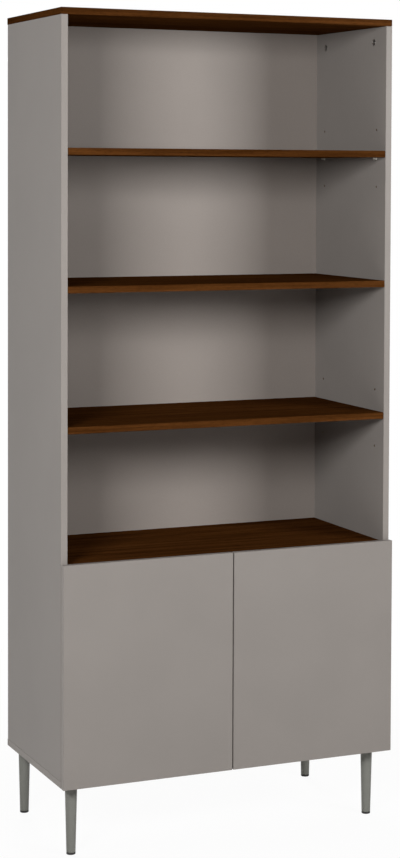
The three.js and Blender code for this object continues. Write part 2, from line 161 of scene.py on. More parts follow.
# The softboxes: size, place, and the point that each one faces
LAMPS = {
    "left": ((1.0, 0.7), (-2.2, -2.45, 1.9), (0, 0, 1.1)),
    "right": ((1.1, 0.8), (1.79, -2.65, 1.83), (0, 0, 1.1)),
    "rear": ((1.2, 1.6), (0.6, 3.8, 2.2), (0, 0, 1)),
    "top": ((0.6, 0.3), (0, 0, 2.6), (0, 0, 1.85)),
}
WHITE = (1, 1, 1, 1)


# Sizes and colours that a user would change
def length(name, description, default):
    return FloatProperty(name=name, description=description, default=default, unit="LENGTH",
                         subtype="DISTANCE", precision=4)


def colour(name, description, default):
    return FloatVectorProperty(name=name, description=description, default=default, size=3,
                               subtype="COLOR", min=0, max=1)


def watts(name, description, default):
    return FloatProperty(name=name, description=description, default=default, subtype="POWER")


def degrees(name, description, default):
    return FloatProperty(name=name, description=description, default=math.radians(default),
                         subtype="ANGLE")


class BookcaseSizes(bpy.types.PropertyGroup):
    band: length("Edge band", "Thickness of the band glued round each board", 0.001)
    rounding: length("Edge rounding", "Radius of the outer corners of the edge bands", 0.0007)
    back_rounding: length("Back rounding", "Radius of the corners of the back panel", 0.0003)
    pin_hole: length("Shelf pin hole", "Diameter of the holes for the shelf pins", 0.0054)
    pin_hole_depth: length("Hole depth", "Depth of the holes for the shelf pins", 0.0083)
    cam_bore_gap: length("Cam bore gap", "Clearance round each cam lock", 0.00025)


class BookcaseFinishes(bpy.types.PropertyGroup):
    laminate: colour("Grey laminate", "Taupe grey melamine of case and doors", (0.263, 0.2425, 0.226))
    # The edge band is lighter than the laminate: partly the band's own tone, partly a painted highlight
    # for the light that catches the front edges
    band: colour("Grey edge band", "Edge bands of case and doors", (0.283, 0.260, 0.242))
    # The back panel's colour is lighter and warmer than the case laminate: partly its print, partly a
    # painted highlight for the sheen in the middle of the bays and painted warm shade
    back: colour("Back panel", "Printed front face of the back panel", (0.330, 0.293, 0.267))
    walnut_dark: colour("Walnut, dark", "Dark streaks of the walnut laminate", (0.068, 0.0238, 0.0055))
    walnut_light: colour("Walnut, light", "Light streaks of the walnut laminate", (0.125, 0.0465, 0.0120))
    leg: colour("Leg paint", "Metallic grey paint of the legs", (0.195, 0.198, 0.180))
    foot: colour("Glide", "Black plastic of the feet", (0.012, 0.0115, 0.011))
    steel: colour("Plated steel", "Nickel plated fittings", (0.50, 0.49, 0.47))
    zinc: colour("Zinc", "Dull cast metal of the cam locks", (0.250, 0.236, 0.223))
    nylon: colour("Nylon", "Pale plastic of pins and plungers", (0.68, 0.66, 0.60))
    plastic: colour("Grey plastic", "Moulded plastic of the latch housings", (0.25, 0.24, 0.23))
    hardboard: colour("Hardboard", "Raw rear face of the back panel", (0.230, 0.128, 0.066))
    # The chipboard colour is darker than raw chipboard: painted shade for the inside of the bores, the
    # only place where it is used
    chipboard: colour("Chipboard", "Raw core of the boards, seen in their bores", (0.20, 0.145, 0.095))


class BookcaseStage(bpy.types.PropertyGroup):
    turn: degrees("Turn", "How far the camera faces to the right", 24.763)
    tilt: degrees("Tilt", "How far the camera faces up", -2.365)
    roll: degrees("Roll", "How far the camera leans to its right", 0.2853)
    place: FloatVectorProperty(name="Camera", description="Where the camera stands",
                               default=(-1.8645, -4.4539, 1.4987), size=3, subtype="TRANSLATION")
    left_power: watts("Left lamp", "Power of the left softbox", 77)
    right_power: watts("Right lamp", "Power of the right softbox", 54)
    rear_power: watts("Rear lamp", "Power of the softbox behind the case", 99)
    top_power: watts("Top lamp", "Power of the softbox over the top panel", 5)
    room: FloatProperty(name="Room light", description="Strength of the even light all round",
                        default=0.06, min=0)
    room_tone: colour("Room tone", "Warm tint of the even light", (1.0, 0.66, 0.42))
    floor_tone: colour("Floor", "Pale matt floor, as the object sees it", (0.85, 0.85, 0.85))
    floor_size: length("Floor size", "Length of each side of the floor", 60)


# Modelling helpers
def deselect():
    if bpy.context.mode != "OBJECT":
        bpy.ops.object.mode_set(mode="OBJECT")
    bpy.ops.object.select_all(action="DESELECT")


def finished(name):
    """The active object, named, with its place in its mesh."""
    piece = bpy.context.object
    bpy.ops.object.transform_apply(location=True, rotation=True, scale=True)
    piece.name = name
    piece.data.name = name
    return piece


def activate(*pieces):
    deselect()
    for piece in pieces:
        piece.select_set(True)
    bpy.context.view_layer.objects.active = pieces[0]


def add_box(name, low, high):
    deselect()
    low, high = Vector(low), Vector(high)
    bpy.ops.mesh.primitive_cube_add(size=1, location=(low + high) / 2, scale=high - low)
    return finished(name)


def add_rod(name, radius, start, end, sides=32):
    """A cylinder between two points."""
    deselect()
    start, end = Vector(start), Vector(end)
    along = end - start
    turn = along.to_track_quat("Z", "Y").to_euler()
    bpy.ops.mesh.primitive_cylinder_add(
        vertices=sides, radius=radius, depth=along.length, location=(start + end) / 2, rotation=turn)
    return finished(name)


def edit(piece, kind, wanted):
    """Edit mode, with the faces or edges selected that are wanted."""
    activate(piece)
    bpy.ops.object.mode_set(mode="EDIT")
    bpy.ops.mesh.select_mode(type=kind)
    bpy.ops.mesh.select_all(action="DESELECT")
    mesh = bmesh.from_edit_mesh(piece.data)
    for element in mesh.faces if kind == "FACE" else mesh.edges:
        element.select_set(wanted(element))
    bmesh.update_edit_mesh(piece.data)


def face_outwards():
    """Turns the normals of the active mesh outwards, and leaves edit mode."""
    bpy.ops.object.mode_set(mode="EDIT")
    bpy.ops.mesh.select_all(action="SELECT")
    bpy.ops.mesh.normals_make_consistent(inside=False)
    bpy.ops.object.mode_set(mode="OBJECT")


def thicken(height):
    """Raises the active flat mesh to a height."""
    bpy.ops.object.mode_set(mode="EDIT")
    bpy.ops.mesh.select_all(action="SELECT")
    bpy.ops.mesh.extrude_region_move(TRANSFORM_OT_translate={"value": (0, 0, height)})
    face_outwards()


def set_in_place(piece, place, axis="Z"):
    """Turns a piece from the Z axis to another one and moves it to a place."""
    activate(piece)
    piece.rotation_euler = Vector(AXES[axis]).to_track_quat("Z", "Y").to_euler()
    piece.location = place
    return smooth(finished(piece.name))


def quarter_turn(steps):
    return [math.radians(90) * step / steps for step in range(steps + 1)]


def rounded_end(radius, edge, steps):
    """Rings round the lower edge of a turned piece."""
    return [(radius - edge * (1 - math.sin(a)), edge * (1 - math.cos(a))) for a in quarter_turn(steps)]


def add_turned(name, profile, place, axis="Z", sides=48):
    """A turned piece: a filled circle, extruded from ring to ring of (radius, height) along an axis."""
    deselect()
    radius, height = profile[0]
    bpy.ops.mesh.primitive_circle_add(
        vertices=sides, radius=radius, fill_type="NGON", location=(0, 0, height))
    piece = finished(name)
    bpy.ops.object.mode_set(mode="EDIT")
    for wider, higher in profile[1:]:
        bpy.ops.mesh.extrude_region_move(TRANSFORM_OT_translate={"value": (0, 0, higher - height)})
        grown = wider / radius
        bpy.ops.transform.resize(value=(grown, grown, 1), center_override=(0, 0, higher))
        radius, height = wider, higher
    face_outwards()
    return set_in_place(piece, place, axis)


def add_outline(name, points, low, high):
    """A flat piece in X and Y from an outline, thickened along Z."""
    deselect()
    bpy.ops.mesh.primitive_circle_add(vertices=len(points), radius=1, fill_type="NGON")
    piece = finished(name)
    for vertex, (x, y) in zip(piece.data.vertices, points):
        vertex.co = (x, y, low)
    thicken(high - low)
    return piece


def add_tile(name, wide, long, thick, corner, place, turn=(0, 0, 0)):
    """A flat piece with round corners, centred on a place, from its underside up."""
    deselect()
    bpy.ops.mesh.primitive_plane_add(size=1)
    piece = bpy.context.object
    piece.scale = (wide, long, 1)
    finished(name)
    bpy.ops.object.mode_set(mode="EDIT")
    bpy.ops.mesh.select_all(action="SELECT")
    bpy.ops.mesh.bevel(offset=corner, segments=6, affect="VERTICES")
    thicken(thick)
    piece.rotation_euler = turn
    piece.location = place
    return finished(name)


def add_ribbon(name, start, start_reach, end_reach, end, low, high, thick):
    """A strip of even thickness bent along a curve in X and Y."""
    deselect()
    bpy.ops.curve.primitive_bezier_curve_add()
    curve = bpy.context.object
    curve.data.resolution_u = 20
    first, last = curve.data.splines[0].bezier_points
    for point, place, reach in ((first, start, start_reach), (last, end, end_reach)):
        point.handle_left_type = point.handle_right_type = "FREE"
        point.co = (*place, 0)
        point.handle_left = point.handle_right = (*reach, 0)
    curve.data.extrude = (high - low) / 2
    bpy.ops.object.convert(target="MESH")
    piece = finished(name)
    piece.location.z = (low + high) / 2
    finished(name)
    modified(piece, "SOLIDIFY", thickness=thick, offset=0)
    face_outwards()
    return piece


def copy_of(piece, name, offset=(0, 0, 0), mirror=False):
    """A copy with its own mesh, reflected across the middle of the case if asked, and moved."""
    activate(piece)
    bpy.ops.object.duplicate()
    bpy.context.object.location = offset
    if mirror:
        bpy.context.object.scale.x = -1
    copy = finished(name)
    if mirror:
        face_outwards()
    return copy


def discard(*pieces):
    for piece in pieces:
        bpy.data.objects.remove(piece)


def join(name, pieces):
    activate(*pieces)
    if len(pieces) > 1:
        bpy.ops.object.join()
    return finished(name)


def modified(piece, kind, **settings):
    """A piece with a modifier applied to it."""
    activate(piece)
    modifier = piece.modifiers.new(kind, kind)
    for name, value in settings.items():
        setattr(modifier, name, value)
    bpy.ops.object.modifier_apply(modifier=modifier.name)
    return piece


def cut(piece, tools, operation="DIFFERENCE"):
    tool = join("tool", tools)
    modified(piece, "BOOLEAN", operation=operation, solver="EXACT", object=tool, material_mode="TRANSFER")
    discard(tool)
    return piece


def cut_cross(piece, long, narrow, low, high):
    """Cuts two crossing slots, given half their length and width."""
    for x, y in ((long, narrow), (narrow, long)):
        cut(piece, [add_box("slot", (-x, -y, low), (x, y, high))])


def bevel_sharp(piece, width, segments=3, angle=30):
    return modified(piece, "BEVEL", width=width, segments=segments, limit_method="ANGLE",
                    angle_limit=math.radians(angle), use_clamp_overlap=True)


def smooth(piece, angle=35):
    activate(piece)
    bpy.ops.object.shade_smooth_by_angle(angle=math.radians(angle))
    return piece


def dress(piece, body, node, look=None):
    """Gives a finished piece its finish, the body that it rides on and the node that it replaces.

    A cut can leave an empty material slot on a piece, so one with a single finish starts clean.
    """
    if look:
        piece.data.materials.clear()
        piece.data.polygons.foreach_set("material_index", [0] * len(piece.data.polygons))
        piece.data.materials.append(finish(look))
    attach(piece, body)
    if node:
        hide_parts(node)
    return piece


# Materials
def socket_of(sockets, key):
    """A socket by its number, or else the one in use that has a name."""
    if isinstance(key, int):
        return sockets[key]
    return next(socket for socket in sockets if socket.name == key and socket.enabled)


class Tree:
    """The node tree of a world or a material, under way."""

    def __init__(self, owner):
        owner.use_nodes = True
        self.nodes, self.links = owner.node_tree.nodes, owner.node_tree.links

    def fill(self, node, inputs):
        """Wires the inputs that are given a socket, sets the others, and skips those given None."""
        for key, value in inputs.items():
            if isinstance(value, bpy.types.NodeSocket):
                self.links.new(value, socket_of(node.inputs, key))
            elif value is not None:
                socket_of(node.inputs, key).default_value = value

    def add(self, kind, output, inputs=None, **settings):
        """One output of a new node."""
        node = self.nodes.new(kind)
        for name, value in settings.items():
            setattr(node, name, value)
        self.fill(node, inputs or {})
        return socket_of(node.outputs, output)


class Recipe(Tree):
    """A node material under way, with short calls for the nodes that the finishes share."""

    def __init__(self, name, roughness=0.5, metallic=0.0, specular=0.5):
        self.material = bpy.data.materials.new(name)
        super().__init__(self.material)
        self.shader = self.nodes["Principled BSDF"]
        self.fill(self.shader, {
            "Roughness": roughness, "Metallic": metallic, "Specular IOR Level": specular})
        self.place = self.add("ShaderNodeTexCoord", "Object")

    def mapped(self, scale, turn=(0, 0, 0), source=None):
        return self.add("ShaderNodeMapping", "Vector", {
            "Scale": scale, "Rotation": turn, "Vector": source or self.place})

    def noise(self, scale, detail=2.0, source=None, distortion=0.0):
        """Noise of one scale, or of a scale for each axis."""
        if isinstance(scale, tuple):
            source, scale = self.mapped(scale, source=source), 1.0
        return self.add("ShaderNodeTexNoise", "Fac", {
            "Scale": scale, "Detail": detail, "Distortion": distortion, "Vector": source or self.place})

    def cells(self, scale):
        return self.add("ShaderNodeTexVoronoi", "Color", {"Scale": scale, "Vector": self.place})

    def ramp(self, value, stops):
        output = self.add("ShaderNodeValToRGB", "Color", {"Fac": value})
        elements = output.node.color_ramp.elements
        while len(elements) < len(stops):
            elements.new(0.5)
        for element, (position, tone) in zip(elements, stops):
            element.position = position
            element.color = (*tone, 1)
        return output

    def spread(self, value, low, high, reach=NOISE_RANGE, curve="LINEAR"):
        """A value whose range is moved to another one."""
        return self.add("ShaderNodeMapRange", "Result", {
            "Value": value, "From Min": reach[0], "From Max": reach[1], "To Min": low, "To Max": high,
        }, interpolation_type=curve)

    def mixed(self, first, second, factor, blend):
        return self.add("ShaderNodeMix", "Result", {"Factor": factor, "A": first, "B": second},
                        data_type="RGBA", blend_type=blend)

    def multiplied(self, tone, *others):
        for other in others:
            tone = self.mixed(tone, other, 1.0, "MULTIPLY")
        return tone

    def bump(self, height, distance, strength=1.0, below=None):
        return self.add("ShaderNodeBump", "Normal", {
            "Strength": strength, "Distance": distance, "Height": height, "Normal": below})

    def done(self, tone=None, roughness=None, normal=None):
        self.fill(self.shader, {"Base Color": tone, "Roughness": roughness, "Normal": normal})
        return self.material


def tint(colour_value, factor):
    return tuple(min(1.0, channel * factor) for channel in colour_value)


def laminate_finish(name, base):
    """Matt melamine: a faint mottle in the printed paper and the fine pearl of the press plate."""
    recipe = Recipe(name, specular=0.14)
    broad = recipe.noise(5.5, detail=3)
    fleck = recipe.noise(620, detail=2)
    cloudy = recipe.ramp(broad, ((0.3, tint(base, 0.975)), (0.7, tint(base, 1.025))))
    flecked = recipe.ramp(fleck, ((0.35, (0.93, 0.93, 0.93)), (0.65, (1.0, 1.0, 1.0))))
    tone = recipe.multiplied(cloudy, flecked)
    pearl = recipe.bump(recipe.noise(950, detail=3), 0.00003, 0.6)
    waves = recipe.bump(recipe.noise(42, detail=1), 0.00012, 0.25, pearl)
    return recipe.done(tone, recipe.spread(fleck, 0.38, 0.46), waves)


def walnut_finish(name, dark, light, grain="x"):
    """Printed walnut: straight streaks along the grain, a slow wave in them, and short dark pores."""
    recipe = Recipe(name, specular=0.0)
    turn = (0, 0, 0) if grain == "x" else (0, 0, math.radians(90))
    along = recipe.mapped((1, 1, 1), turn)
    figure = recipe.noise((1.6, 9, 9), 2, along, 0.4)
    streaks = recipe.noise((2.2, 62, 62), 4, along, 0.5)
    lines = recipe.noise((7, 420, 420), 3, along)
    pores = recipe.noise((75, 1900, 1900), 1, along)
    middle = tuple((a + b) / 2 for a, b in zip(dark, light))
    body = recipe.ramp(streaks, ((0.30, tint(dark, 0.9)), (0.48, middle), (0.66, light)))
    cast = recipe.ramp(figure, ((0.30, (0.72, 0.70, 0.68)), (0.70, (1.0, 1.0, 1.0))))
    fine = recipe.ramp(lines, ((0.34, (0.70, 0.68, 0.64)), (0.60, (1.0, 1.0, 1.0))))
    dashes = recipe.ramp(pores, ((0.36, (0.45, 0.42, 0.38)), (0.43, (1.0, 1.0, 1.0))))
    relief = recipe.bump(lines, 0.00004, 0.35, recipe.bump(pores, 0.00005, 0.5))
    return recipe.done(
        recipe.multiplied(body, cast, fine, dashes), recipe.spread(lines, 0.54, 0.44), relief)


def hardboard_finish(name, base):
    """Raw fibreboard: matted short fibres in brown, with darker specks."""
    recipe = Recipe(name, roughness=0.8, specular=0.2)
    fibres = recipe.noise((300, 300, 900), 4, distortion=1.2)
    broad = recipe.noise(9, detail=3)
    speck = recipe.noise(480, detail=1)
    body = recipe.ramp(fibres, ((0.32, tint(base, 0.74)), (0.52, base), (0.70, tint(base, 1.25))))
    cast = recipe.ramp(broad, ((0.3, (0.88, 0.87, 0.86)), (0.7, (1.0, 1.0, 1.0))))
    specks = recipe.ramp(speck, ((0.27, (0.5, 0.45, 0.4)), (0.33, (1.0, 1.0, 1.0))))
    tone = recipe.multiplied(body, cast, specks)
    return recipe.done(tone, recipe.spread(fibres, 0.72, 0.86), recipe.bump(fibres, 0.00008, 0.7))


def chipboard_finish(name, base):
    """Raw chipboard: pressed chips of uneven colour."""
    recipe = Recipe(name, roughness=0.9, specular=0.15)
    chips = recipe.cells(620)
    grain = recipe.noise(900, detail=3)
    body = recipe.mixed((*tint(base, 0.8), 1), chips, 0.18, "SOFT_LIGHT")
    cast = recipe.ramp(grain, ((0.3, (0.6, 0.55, 0.5)), (0.6, (1, 1, 1))))
    return recipe.done(recipe.multiplied(body, cast), None, recipe.bump(grain, 0.0002, 0.8))


def paint_finish(name, base):
    """Metallic paint: fine flake under a satin coat, a little orange peel."""
    recipe = Recipe(name, metallic=0.08, specular=0.2)
    flake = recipe.noise(1500, detail=2)
    broad = recipe.noise(14, detail=2)
    body = recipe.ramp(flake, ((0.35, tint(base, 0.90)), (0.65, tint(base, 1.10))))
    cast = recipe.ramp(broad, ((0.3, (0.95, 0.95, 0.95)), (0.7, (1.0, 1.0, 1.0))))
    peel = recipe.bump(recipe.noise(320, detail=2), 0.00004, 0.5)
    return recipe.done(recipe.multiplied(body, cast), recipe.spread(flake, 0.36, 0.46), peel)


def steel_finish(name, base, roughness=0.3):
    """Nickel plate over pressed steel: soft drawing marks and small changes of gloss."""
    recipe = Recipe(name, roughness=roughness, metallic=1.0)
    marks = recipe.noise((260, 260, 1500), 3)
    cloud = recipe.noise(75, detail=3)
    body = recipe.ramp(cloud, ((0.3, tint(base, 0.92)), (0.7, tint(base, 1.06))))
    return recipe.done(body, recipe.spread(marks, roughness - 0.05, roughness + 0.08),
                       recipe.bump(marks, 0.00001, 0.5))


def plastic_finish(name, base, roughness=0.45, grain=700):
    """Moulded plastic: a fine spark-eroded grain and slight shifts of tone."""
    recipe = Recipe(name, roughness=roughness)
    fine = recipe.noise(grain, detail=2)
    cloud = recipe.noise(60, detail=2)
    body = recipe.ramp(cloud, ((0.3, tint(base, 0.95)), (0.7, tint(base, 1.04))))
    return recipe.done(body, recipe.spread(fine, roughness - 0.05, roughness + 0.07),
                       recipe.bump(fine, 0.00002, 0.6))


FINISHES = {
    "laminate": lambda tones: laminate_finish("grey_laminate", tones.laminate),
    # Edge band: the laminate finish in a lighter tone, which holds a painted highlight for the lit edges
    "band": lambda tones: laminate_finish("grey_edge_band", tones.band),
    # Back panel: a lighter, warmer copy of the laminate, with a painted highlight and painted warm shade
    # in its colour
    "back": lambda tones: laminate_finish("printed_back", tones.back),
    "walnut": lambda tones: walnut_finish("walnut_laminate", tones.walnut_dark, tones.walnut_light),
    "walnut_end": lambda tones: walnut_finish(
        "walnut_end_band", tones.walnut_dark, tones.walnut_light, "y"),
    "hardboard": lambda tones: hardboard_finish("raw_hardboard", tones.hardboard),
    # Bore walls: chipboard whose colour holds painted shade
    "chipboard": lambda tones: chipboard_finish("raw_chipboard", tones.chipboard),
    "leg": lambda tones: paint_finish("metallic_leg_paint", tones.leg),
    "foot": lambda tones: plastic_finish("black_glide", tones.foot, 0.6, 500),
    "steel": lambda tones: steel_finish("nickel_plate", tones.steel),
    "zinc": lambda tones: steel_finish("cast_zinc", tones.zinc, 0.45),
    "nylon": lambda tones: plastic_finish("pale_nylon", tones.nylon, 0.38),
    "plastic": lambda tones: plastic_finish("grey_moulding", tones.plastic, 0.5),
}
MATERIALS = {}


def finish(key):
    """The material of a finish, made when it is first asked for."""
    if key not in MATERIALS:
        MATERIALS[key] = FINISHES[key](bpy.context.scene.bookcase_finishes)
    return MATERIALS[key]


# Boards
def board(node, thin, face, band, end_band=None):
    """A board in its node's place: laminate on its two faces, and a rounded band round its edges."""
    sizes = bpy.context.scene.bookcase_sizes
    low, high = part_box(node)
    piece = add_box(f"{node}_board", low, high)
    edit(piece, "FACE", lambda side: abs(side.normal[thin]) > FACING)
    bpy.ops.mesh.inset(thickness=sizes.band)
    bpy.ops.object.mode_set(mode="OBJECT")
    materials = list(dict.fromkeys((face, band, end_band or band)))
    for material in materials:
        piece.data.materials.append(material)
    rim = (high.x - low.x) / 2 - 2 * sizes.band
    narrow = (high.y - low.y) * sizes.band * 2
    for polygon in piece.data.polygons:
        inner = abs(polygon.normal[thin]) > FACING and polygon.area > narrow
        at_end = abs(polygon.center.x - (low.x + high.x) / 2) > rim
        wanted = face if inner else end_band if at_end and end_band else band
        polygon.material_index = materials.index(wanted)
    edit(piece, "EDGE", lambda edge: edge.calc_face_angle(0) > CORNER_BEND)
    bpy.ops.mesh.bevel(offset=sizes.rounding, segments=3, affect="EDGES")
    bpy.ops.object.mode_set(mode="OBJECT")
    return piece


def centre_of(node):
    low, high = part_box(node)
    return (low + high) / 2


def cam_radius():
    low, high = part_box("left_front_cam_lock")
    return (high.z - low.z) / 2


def bore(radius, start, end):
    """A tool for a round hole, whose wall is raw chipboard darkened with painted shade for the inside of
    the bore.
    """
    tool = add_rod("bore", radius, start, end, 24)
    tool.data.materials.append(finish("chipboard"))
    return tool


def side_bores(side):
    """Tools for the rows of pin holes and the two cam bores of a side."""
    sizes = bpy.context.scene.bookcase_sizes
    low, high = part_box(f"{side}_side_panel")
    inner, into = (high.x, -1) if side == "left" else (low.x, 1)
    holes = []
    for shelf, column, row in product(LOOSE_SHELVES, COLUMNS, (-1, 0, 1)):
        low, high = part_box(f"{shelf}_shelf_pin_{side}_{column}")
        holes.append(((low.y + high.y) / 2, low.z + PIN_COLLAR / 2 + row * PIN_PITCH,
                      sizes.pin_hole / 2, sizes.pin_hole_depth))
    for column in COLUMNS:
        low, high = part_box(f"{side}_{column}_cam_lock")
        holes.append(((low.y + high.y) / 2, (low.z + high.z) / 2,
                      cam_radius() + sizes.cam_bore_gap, high.x - low.x + OVERRUN))
    return [bore(radius, (inner - into * OVERRUN, y, z), (inner + into * depth, y, z))
            for y, z, radius, depth in holes]


def fixed_shelf_cams(node):
    """Places on the underside of a fixed shelf where its cam locks sit."""
    low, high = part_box(node)
    for end, column in product((low.x + FIXED_CAM_INSET, high.x - FIXED_CAM_INSET), COLUMNS):
        yield Vector((end, centre_of(f"left_{column}_cam_lock").y, low.z))


def case_screws():
    """Places on the underside of the bottom panel, under the two sides."""
    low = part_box("bottom_panel")[0]
    for side, column in product(SIDES, COLUMNS):
        y = centre_of(f"left_{column}_cam_lock").y
        yield Vector((centre_of(f"{side}_side_panel").x, y, low.z))


class BOOKCASE_OT_grey_boards(bpy.types.Operator):
    """Makes the sides, the bottom, the cabinet shelf and the back panel in grey laminate"""
    bl_idname = "bookcase.grey_boards"
    bl_label = "Grey boards"

    def execute(self, context):
        laminate, band = finish("laminate"), finish("band")
        for side in SIDES:
            node = f"{side}_side_panel"
            piece = cut(board(node, 0, laminate, band), side_bores(side))
            dress(piece, "case", node)
        shelf = board("cabinet_shelf", 2, laminate, band)
        dress(shelf, "case", "cabinet_shelf")
        bottom = board("bottom_panel", 2, laminate, band)
        down, up = Vector((0, 0, -OVERRUN)), Vector((0, 0, CASE_SCREW_SINK))
        sinks = [bore(CASE_SCREW_HEAD / 2, place + down, place + up) for place in case_screws()]
        dress(cut(bottom, sinks), "case", "bottom_panel")
        low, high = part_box("back_panel")
        back = add_box("back_panel_board", low, high)
        bevel_sharp(back, context.scene.bookcase_sizes.back_rounding, 2)
        back.data.materials.append(finish("back"))
        back.data.materials.append(finish("hardboard"))
        skin = low.y + (high.y - low.y) / 3  # the printed face and the front of the rim
        for polygon in back.data.polygons:
            polygon.material_index = int(polygon.center.y > skin)
        dress(back, "case", "back_panel")
        return {"FINISHED"}


class BOOKCASE_OT_walnut_boards(bpy.types.Operator):
    """Makes the top, the cabinet top and the three shelves in walnut laminate"""
    bl_idname = "bookcase.walnut_boards"
    bl_label = "Walnut boards"

    def execute(self, context):
        walnut, end = finish("walnut"), finish("walnut_end")
        radius = cam_radius() + context.scene.bookcase_sizes.cam_bore_gap
        down, up = Vector((0, 0, -OVERRUN)), Vector((0, 0, CAM_DEPTH + OVERRUN))
        for node in ("top_panel", "cabinet_top", "lower_shelf", "middle_shelf", "upper_shelf"):
            piece = board(node, 2, walnut, walnut, end)
            if node in FIXED_SHELVES:
                cut(piece, [bore(radius, at + down, at + up) for at in fixed_shelf_cams(node)])
            dress(piece, "case", node)
        return {"FINISHED"}


class BOOKCASE_OT_doors(bpy.types.Operator):
    """Makes the two doors in grey laminate, bored for their hinge cups"""
    bl_idname = "bookcase.doors"
    bl_label = "Doors"

    def execute(self, context):
        for side in SIDES:
            node = f"{side}_door"
            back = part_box(node)[1].y
            tools = []
            for place in HINGE_PLACES:
                low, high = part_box(f"{side}_{place}_hinge_cup")
                middle = (low + high) / 2
                radius = (high.x - low.x) / 2 + context.scene.bookcase_sizes.cam_bore_gap
                start = (middle.x, back + OVERRUN, middle.z)
                end = (middle.x, low.y - CUP_BORE_GAP, middle.z)
                tools.append(bore(radius, start, end))
            piece = cut(board(node, 1, finish("laminate"), finish("band")), tools)
            dress(piece, node, node)
        return {"FINISHED"}


# Legs and feet
class BOOKCASE_OT_legs(bpy.types.Operator):
    """Turns the four tapered legs and their glides"""
    bl_idname = "bookcase.legs"
    bl_label = "Legs"

    def execute(self, context):
        low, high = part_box("leg_front_left")
        foot_low, foot_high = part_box("foot_front_left")
        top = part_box("bottom_panel")[0].z
        wide, tip = (high.x - low.x) / 2, (foot_high.x - foot_low.x) / 2
        seat = low.z
        place = Vector(((low.x + high.x) / 2, (low.y + high.y) / 2, 0))
        leg = add_turned("leg", (
            (SPIGOT / 2, seat + SPIGOT_DEPTH), (SPIGOT / 2, seat), (tip - LEG_EDGE, seat),
            (tip, seat + LEG_EDGE), (wide, top - 3 * LEG_EDGE), (wide - LEG_EDGE / 3, top - LEG_EDGE),
            (wide - LEG_EDGE, top - SEAM), (STUD / 2, top - SEAM), (STUD / 2, high.z),
        ), place, sides=64)
        rim = foot_high.z - SPIGOT_DEPTH + SEAM
        foot = add_turned("foot", (
            *rounded_end(tip, FOOT_EDGE, 4), (tip, rim - LEG_EDGE / 2), (tip - LEG_EDGE / 2, rim),
            (SPIGOT / 2 - SEAM, rim), (SPIGOT / 2 - SEAM, foot_high.z),
        ), place, sides=64)
        for corner in ("front_left", "front_right", "rear_left", "rear_right"):
            offset = centre_of(f"leg_{corner}") - centre_of("leg_front_left")
            dress(copy_of(leg, f"leg_{corner}_tube", offset), "case",
                  f"leg_{corner}", "leg")
            dress(copy_of(foot, f"foot_{corner}_glide", offset), "case",
                  f"foot_{corner}", "foot")
        discard(leg, foot)
        return {"FINISHED"}


# Small fittings
class BOOKCASE_OT_shelf_pins(bpy.types.Operator):
    """Makes the twelve pins that carry the loose shelves"""
    bl_idname = "bookcase.shelf_pins"
    bl_label = "Shelf pins"

    def execute(self, context):
        low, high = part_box("lower_shelf_pin_left_front")
        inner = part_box("left_side_panel")[1].x
        middle, axis = (low.y + high.y) / 2, low.z + PIN_COLLAR / 2
        shank, wide, edge = PIN_SHANK / 2, PIN_COLLAR / 2, PIN_EDGE
        seat, whole = inner - low.x, high.x - low.x
        collar = seat + PIN_COLLAR_THICKNESS
        pin = add_turned("pin", (
            (shank - edge, 0), (shank, edge), (shank, seat), (wide - edge, seat),
            (wide, seat + edge), (wide, collar - edge), (wide - edge, collar),
            (shank, collar), (shank, whole - edge), (shank - edge, whole),
        ), (low.x, middle, axis), "X", sides=32)
        above = add_box("above", (inner + SEAM / 2, low.y - OVERRUN, high.z),
                        (high.x + OVERRUN, high.y + OVERRUN, high.z + PIN_COLLAR))
        smooth(cut(pin, [above]))
        start = centre_of("lower_shelf_pin_left_front")
        for shelf, side, column in product(LOOSE_SHELVES, SIDES, COLUMNS):
            node = f"{shelf}_shelf_pin_{side}_{column}"
            offset = centre_of(f"{shelf}_shelf_pin_left_{column}") - start
            dress(copy_of(pin, f"{node}_body", offset, side == "right"), "case", node, "nylon")
        discard(pin)
        return {"FINISHED"}


def add_cam(name, place, axis, depth):
    """A cam lock whose slotted face lies at a place and looks along an axis."""
    radius, edge = cam_radius(), CAM_EDGE
    cam = add_turned(name, (
        (radius - edge, -depth), (radius, edge - depth), (radius, -edge), (radius - edge, 0),
        (radius - CAM_RIM, 0), (radius - CAM_RIM - edge, -CAM_DISH),
    ), (0, 0, 0), sides=40)
    cut_cross(cam, CAM_SLOT / 2, CAM_SLOT_WIDTH / 2, -CAM_SLOT_DEPTH, OVERRUN)
    face = radius - CAM_RIM
    cut(cam, [add_box("jaw", (face / 4, CAM_SLOT_WIDTH, -depth * CAM_JAW),
                      (face * CAM_JAW, face * CAM_JAW, OVERRUN))])
    return set_in_place(cam, place, axis)


class BOOKCASE_OT_cam_locks(bpy.types.Operator):
    """Makes the cam locks of the sides and of the fixed shelves, and the screws of the bottom"""
    bl_idname = "bookcase.cam_locks"
    bl_label = "Cam locks"

    def execute(self, context):
        for side, column in product(SIDES, COLUMNS):
            node = f"{side}_{column}_cam_lock"
            low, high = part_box(node)
            face, axis = (high.x, "X") if side == "left" else (low.x, "-X")
            place = (face, (low.y + high.y) / 2, (low.z + high.z) / 2)
            cam = add_cam(f"{node}_disc", place, axis, high.x - low.x)
            dress(cam, "case", node, "zinc")
        for node in FIXED_SHELVES:
            cams = [add_cam("cam", at, "-Z", CAM_DEPTH) for at in fixed_shelf_cams(node)]
            dress(join(f"{node}_cam_locks", cams), "case", None, "zinc")
        heads = [add_hex_screw(at + Vector((0, 0, SEAM))) for at in case_screws()]
        dress(join("bottom_panel_screws", heads), "case", None, "steel")
        return {"FINISHED"}


